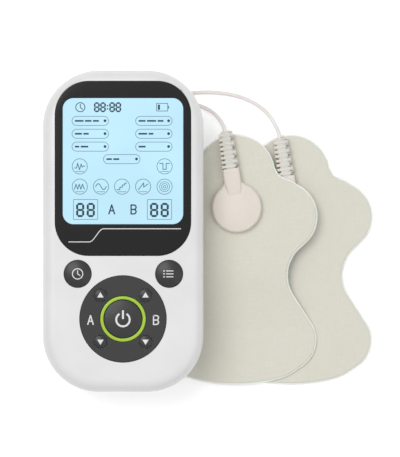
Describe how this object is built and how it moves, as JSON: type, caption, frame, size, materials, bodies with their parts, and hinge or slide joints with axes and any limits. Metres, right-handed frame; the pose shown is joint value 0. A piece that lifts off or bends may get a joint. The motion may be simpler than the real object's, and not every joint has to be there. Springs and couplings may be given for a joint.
{
  "type": "nerve stimulator",
  "caption": "Pocket muscle and nerve stimulator with a lit display, round keypad, belt clip, and press-stud electrode pads on a split lead.",
  "frame": {"origin": "middle of the controller's plan, on the outer face of the belt clip that it lies on", "axes": "+X to the right seen from the front, +Y towards the display end, +Z from the table towards the display"},
  "size_m": [0.1238, 0.12, 0.0321],
  "materials": {
    "case_white": "satin off-white moulded plastic",
    "lens_black": "glossy printed lens",
    "lcd": "lit liquid-crystal display",
    "backlight": "translucent light guide",
    "zebra": "conductive rubber",
    "disc_grey": "fine matte",
    "key_grey": "satin",
    "ring_green": "tinted light guide",
    "pcb_green": "solder mask",
    "component_black": "moulded packages",
    "copper": "wound enamelled wire on ferrite",
    "tin": "plated steel",
    "cell_blue": "printed sleeve",
    "wire_red": "insulation",
    "lead_white": "translucent soft plastic",
    "overmould": "soft moulded plastic",
    "pad_cloth": "non-woven cloth",
    "pad_carbon": "carbon film",
    "pad_gel": "tacky gel",
    "pad_liner": "clear film"
  },
  "bodies": {
    "controller": {"front_shell": "case_white", "rear_shell": "case_white", "belt_clip": "case_white", "case_screws": "tin", "pcb_screws": "tin", "screen_lens": "lens_black", "lcd_glass": "lcd", "lcd_backlight": "backlight", "zebra_strips": "zebra", "control_disc": "disc_grey", "light_ring": "ring_green", "main_pcb": "pcb_green", "pcb_components": "component_black", "pulse_transformers": "copper", "buzzer": "component_black", "tact_switches": "tin", "ring_leds": "backlight", "jack_a": "component_black", "jack_b": "component_black", "jack_wires": "wire_red", "battery_cells": "cell_blue", "battery_springs": "tin", "battery_contacts": "tin"},
    "cover": {"battery_cover": "case_white"},
    "lead": {"plug_pin": "tin", "plug_body": "overmould", "plug_boot": "overmould", "plug_cable": "lead_white", "lead_hank": "lead_white", "hank_tie": "lead_white", "yoke_cable": "lead_white", "yoke": "overmould", "front_wire": "lead_white", "rear_wire": "lead_white", "front_connector_shell": "overmould", "front_connector_boot": "overmould", "front_snap_socket": "tin", "rear_connector_shell": "overmould", "rear_connector_boot": "overmould", "rear_snap_socket": "tin"},
    "front_pad": {"front_pad_stud": "tin", "front_pad_fabric": "pad_cloth", "front_pad_carbon": "pad_carbon", "front_pad_gel": "pad_gel", "front_pad_liner": "pad_liner"},
    "rear_pad": {"rear_pad_stud": "tin", "rear_pad_fabric": "pad_cloth", "rear_pad_carbon": "pad_carbon", "rear_pad_gel": "pad_gel", "rear_pad_liner": "pad_liner"},
    "power_key": {"power_key": "key_grey"},
    "left_key": {"left_key": "key_grey"},
    "right_key": {"right_key": "key_grey"},
    "a_up_key": {"a_up_key": "key_grey"},
    "a_down_key": {"a_down_key": "key_grey"},
    "b_up_key": {"b_up_key": "key_grey"},
    "b_down_key": {"b_down_key": "key_grey"}
  },
  "joints": [
    {"name": "power_key_press", "type": "slide", "parent": "controller", "child": "power_key", "axis": [0, 0, -1], "range_m": [0, 0.0007], "stiffness_N_per_m": 400, "springref_m": -0.002},
    {"name": "left_key_press", "type": "slide", "parent": "controller", "child": "left_key", "axis": [0, 0, -1], "range_m": [0, 0.0007], "stiffness_N_per_m": 400, "springref_m": -0.002},
    {"name": "right_key_press", "type": "slide", "parent": "controller", "child": "right_key", "axis": [0, 0, -1], "range_m": [0, 0.0007], "stiffness_N_per_m": 400, "springref_m": -0.002},
    {"name": "a_up_key_press", "type": "slide", "parent": "controller", "child": "a_up_key", "axis": [0, 0, -1], "range_m": [0, 0.0007], "stiffness_N_per_m": 400, "springref_m": -0.002},
    {"name": "a_down_key_press", "type": "slide", "parent": "controller", "child": "a_down_key", "axis": [0, 0, -1], "range_m": [0, 0.0007], "stiffness_N_per_m": 400, "springref_m": -0.002},
    {"name": "b_up_key_press", "type": "slide", "parent": "controller", "child": "b_up_key", "axis": [0, 0, -1], "range_m": [0, 0.0007], "stiffness_N_per_m": 400, "springref_m": -0.002},
    {"name": "b_down_key_press", "type": "slide", "parent": "controller", "child": "b_down_key", "axis": [0, 0, -1], "range_m": [0, 0.0007], "stiffness_N_per_m": 400, "springref_m": -0.002},
    {"name": "cover_slide", "type": "slide", "parent": "controller", "child": "cover", "axis": [0, -1, 0], "range_m": [0, 0.009]},
    {"name": "plug_pull", "type": "slide", "parent": "controller", "child": "lead", "axis": [0, 1, 0], "range_m": [0, 0.012]},
    {"name": "front_pad_swivel", "type": "hinge", "parent": "lead", "child": "front_pad", "pos_m": [0.0425, 0.0089, 0.0075], "axis": [0, 0, 1], "range_deg": [-3, 15]},
    {"name": "rear_pad_swivel", "type": "hinge", "parent": "lead", "child": "rear_pad", "pos_m": [0.0636, 0.0062, 0.002], "axis": [0, 0, 1], "range_deg": [-25, 30]}
  ]
}
